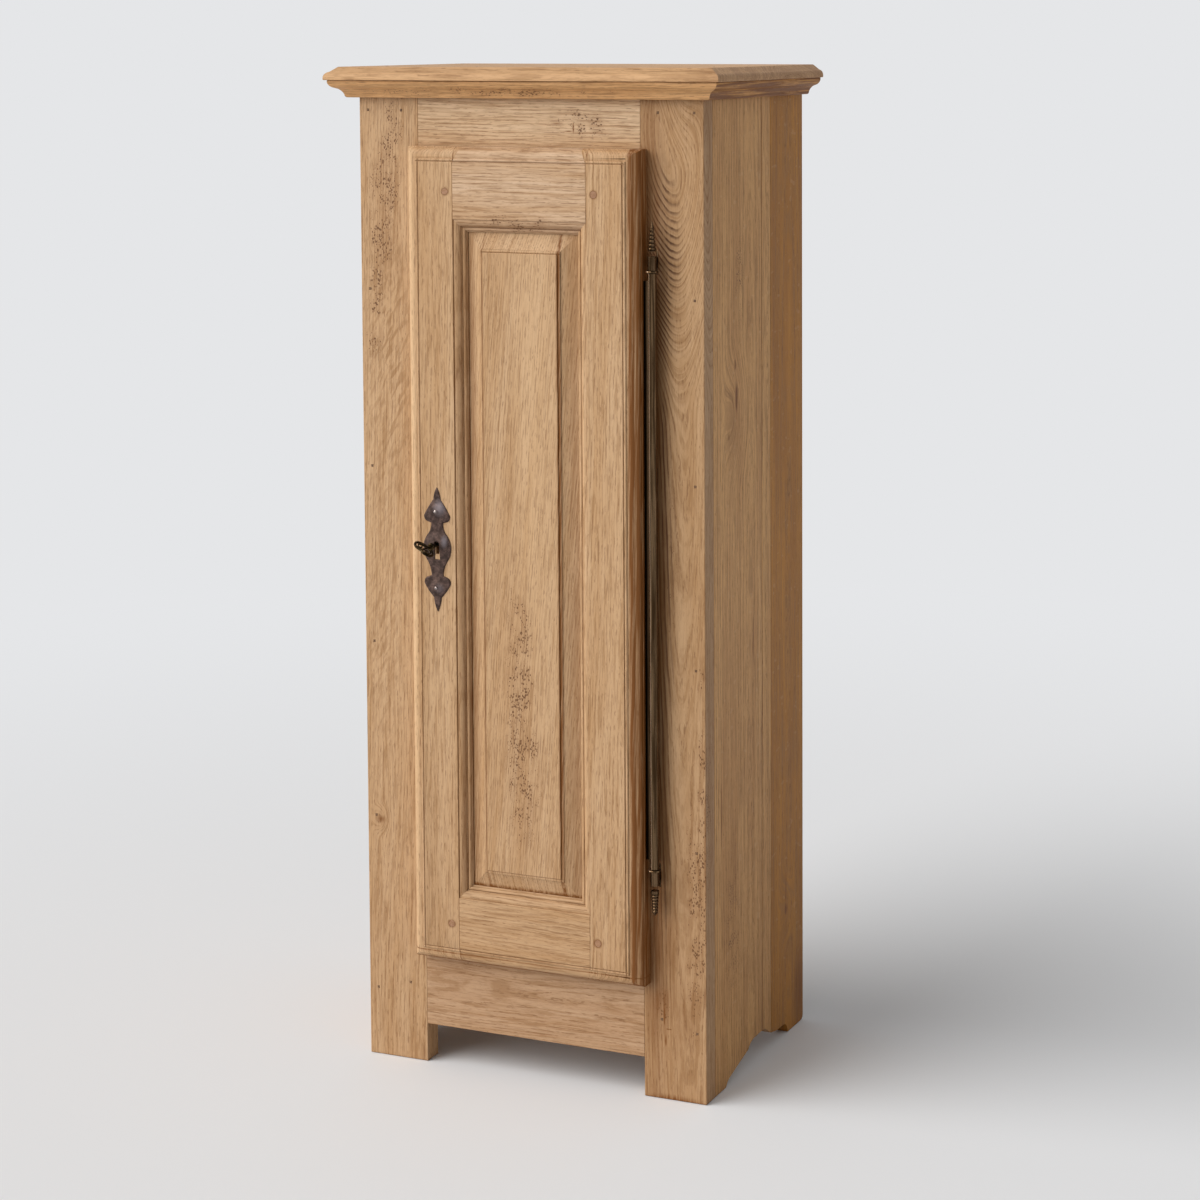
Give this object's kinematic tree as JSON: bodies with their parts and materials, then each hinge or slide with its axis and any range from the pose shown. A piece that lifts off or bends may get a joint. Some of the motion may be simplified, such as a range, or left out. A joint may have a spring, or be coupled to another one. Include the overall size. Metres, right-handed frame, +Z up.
{
  "type": "linen cabinet",
  "caption": "Narrow tall oak linen cabinet with a raised-panel door, moulded cornice, long rod hinge, shelves inside and a working key and bolt.",
  "frame": {"origin": "on the floor, under the middle of the whole bounding box", "axes": "+X to the right seen from the front, +Y to the back, +Z up"},
  "size_m": [0.614, 0.4521, 1.45],
  "materials": {
    "oak": "matte",
    "oak_inside": "matte",
    "dark_iron": "satin",
    "plate_iron": "matte",
    "key_iron": "satin",
    "lock_steel": "satin"
  },
  "bodies": {
    "carcase": {"back_board_1": "oak_inside", "back_board_2": "oak_inside", "back_board_3": "oak_inside", "back_nails": "dark_iron", "bottom_board": "oak_inside", "cleat_left_bottom": "oak_inside", "cleat_left_lower": "oak_inside", "cleat_left_middle": "oak_inside", "cleat_left_top": "oak_inside", "cleat_left_upper": "oak_inside", "cleat_nails": "dark_iron", "cleat_right_bottom": "oak_inside", "cleat_right_lower": "oak_inside", "cleat_right_middle": "oak_inside", "cleat_right_top": "oak_inside", "cleat_right_upper": "oak_inside", "cornice_front": "oak", "cornice_left": "oak", "cornice_right": "oak", "frame_leaf_nails": "dark_iron", "frame_nails": "dark_iron", "frame_rail_bottom": "oak", "frame_rail_top": "oak", "frame_stile_left": "oak", "frame_stile_right": "oak", "hinge_collars": "dark_iron", "hinge_finials": "dark_iron", "hinge_knuckles": "dark_iron", "hinge_rod": "dark_iron", "shelf_lower": "oak_inside", "shelf_middle": "oak_inside", "shelf_upper": "oak_inside", "side_left_front_board": "oak", "side_left_middle_board": "oak", "side_left_rear_board": "oak", "side_right_front_board": "oak", "side_right_middle_board": "oak", "side_right_rear_board": "oak", "strike_nails": "dark_iron", "strike_plate": "lock_steel", "top_board": "oak", "top_nails": "dark_iron"},
    "door": {"bolt_spring": "lock_steel", "door_leaf_nails": "dark_iron", "door_panel": "oak", "door_pegs": "oak", "door_rail_bottom": "oak", "door_rail_top": "oak", "door_stile_hinge": "oak", "door_stile_lock": "oak", "escutcheon": "plate_iron", "escutcheon_nails": "plate_iron", "hinge_barrel": "dark_iron", "lock_case": "lock_steel", "lock_cover": "lock_steel", "lock_nails": "dark_iron"},
    "key": {"key": "key_iron"},
    "lock_bolt": {"lock_bolt": "lock_steel"}
  },
  "joints": [
    {"name": "door_swing", "type": "hinge", "parent": "carcase", "child": "door", "pos_m": [0.1989, -0.163, 0.75], "axis": [0, 0, 1], "range_deg": [0, 175]},
    {"name": "key_turn", "type": "hinge", "parent": "door", "child": "key", "pos_m": [-0.133, -0.17, 0.771], "axis": [0, -1, 0], "range_deg": [-53, 303]},
    {"name": "bolt_throw", "type": "slide", "parent": "door", "child": "lock_bolt", "axis": [-1, 0, 0], "range_m": [-0.00176, 0.01009]}
  ],
  "couplings": [
    {"joint": "key_turn", "follows": "bolt_throw", "rad_per_m": 523.6}
  ]
}
